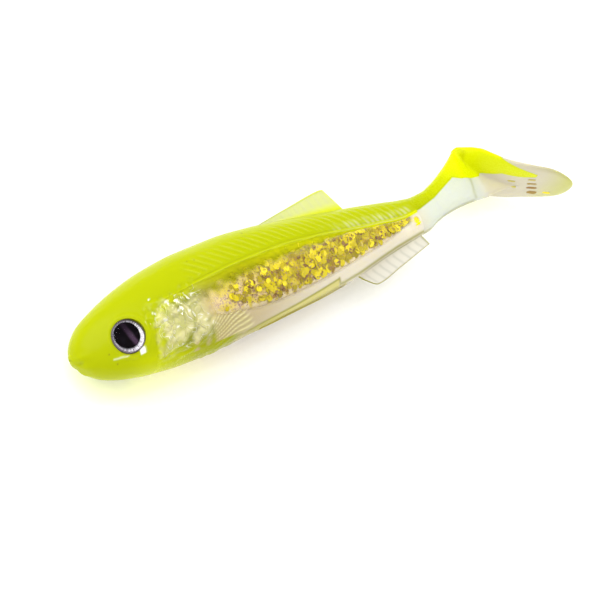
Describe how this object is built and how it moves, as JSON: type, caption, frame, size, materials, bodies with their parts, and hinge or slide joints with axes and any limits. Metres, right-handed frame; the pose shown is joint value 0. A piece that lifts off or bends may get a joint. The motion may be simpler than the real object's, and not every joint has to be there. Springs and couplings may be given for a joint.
{
  "type": "soft paddle-tail swimbait",
  "caption": "Soft translucent swimbait with a flake core, domed eyes, flexing body and stem, folding fins, a kicking paddle tail and a belly hook slot.",
  "frame": {"origin": "middle of the lure's box, on the surface it lies on", "axes": "+X from the nose to the tail, +Y towards the back, +Z out of the left flank; the lure lies on its right flank"},
  "size_m": [0.12, 0.0218, 0.015],
  "materials": {
    "chartreuse_pour": "wet-looking translucent soft plastic",
    "clear_pour": "clear soft plastic, faintly warm",
    "flake_core": "clear soft plastic full of gold and purple-brown flake",
    "fin_web": "thin clear soft plastic with rays",
    "eye_foil": "radially brushed foil",
    "eye_pupil": "glossy print",
    "eye_dome": "clear polished resin"
  },
  "bodies": {
    "front_body": {"back_front": "chartreuse_pour", "belly_front": "clear_pour", "core_front": "flake_core", "back_flex": "chartreuse_pour", "belly_flex": "clear_pour", "core_flex": "flake_core", "left_eye_foil": "eye_foil", "left_eye_pupil": "eye_pupil", "left_eye_dome": "eye_dome", "right_eye_foil": "eye_foil", "right_eye_pupil": "eye_pupil", "right_eye_dome": "eye_dome"},
    "rear_body": {"back_rear": "chartreuse_pour", "belly_rear": "clear_pour", "core_rear": "flake_core", "stem_root": "clear_pour"},
    "fin_back": {"dorsal_fin": "fin_web"},
    "fin_belly": {"anal_fin": "fin_web"},
    "tail_stem": {"stem_back": "chartreuse_pour", "stem_belly": "clear_pour", "paddle_web": "chartreuse_pour"},
    "paddle": {"paddle_heel": "chartreuse_pour", "paddle_blade": "clear_pour"}
  },
  "joints": [
    {"name": "body_bend", "type": "hinge", "parent": "front_body", "child": "rear_body", "pos_m": [-0.01903, 0.0007, 0.0075], "axis": [0, 1, 0], "range_deg": [-20, 20], "stiffness_Nm_per_rad": 0.15, "deforming": ["back_flex", "belly_flex", "core_flex"]},
    {"name": "stem_bend", "type": "hinge", "parent": "rear_body", "child": "tail_stem", "pos_m": [0.02297, -0.0016, 0.0075], "axis": [0, 1, 0], "range_deg": [-35, 35], "stiffness_Nm_per_rad": 0.01, "deforming": ["stem_root"]},
    {"name": "paddle_kick", "type": "hinge", "parent": "tail_stem", "child": "paddle", "pos_m": [0.03397, 0.0008, 0.0075], "axis": [0, 1, 0], "range_deg": [-45, 45], "stiffness_Nm_per_rad": 0.005, "deforming": ["paddle_web"]},
    {"name": "dorsal_fin_fold", "type": "hinge", "parent": "rear_body", "child": "fin_back", "pos_m": [-0.00303, 0.00715, 0.0075], "axis": [0.985, -0.1727, 0], "range_deg": [-50, 50], "stiffness_Nm_per_rad": 0.0001},
    {"name": "anal_fin_fold", "type": "hinge", "parent": "rear_body", "child": "fin_belly", "pos_m": [0.01077, -0.0067, 0.0075], "axis": [0.9933, 0.1159, 0], "range_deg": [-50, 50], "stiffness_Nm_per_rad": 0.0001}
  ]
}
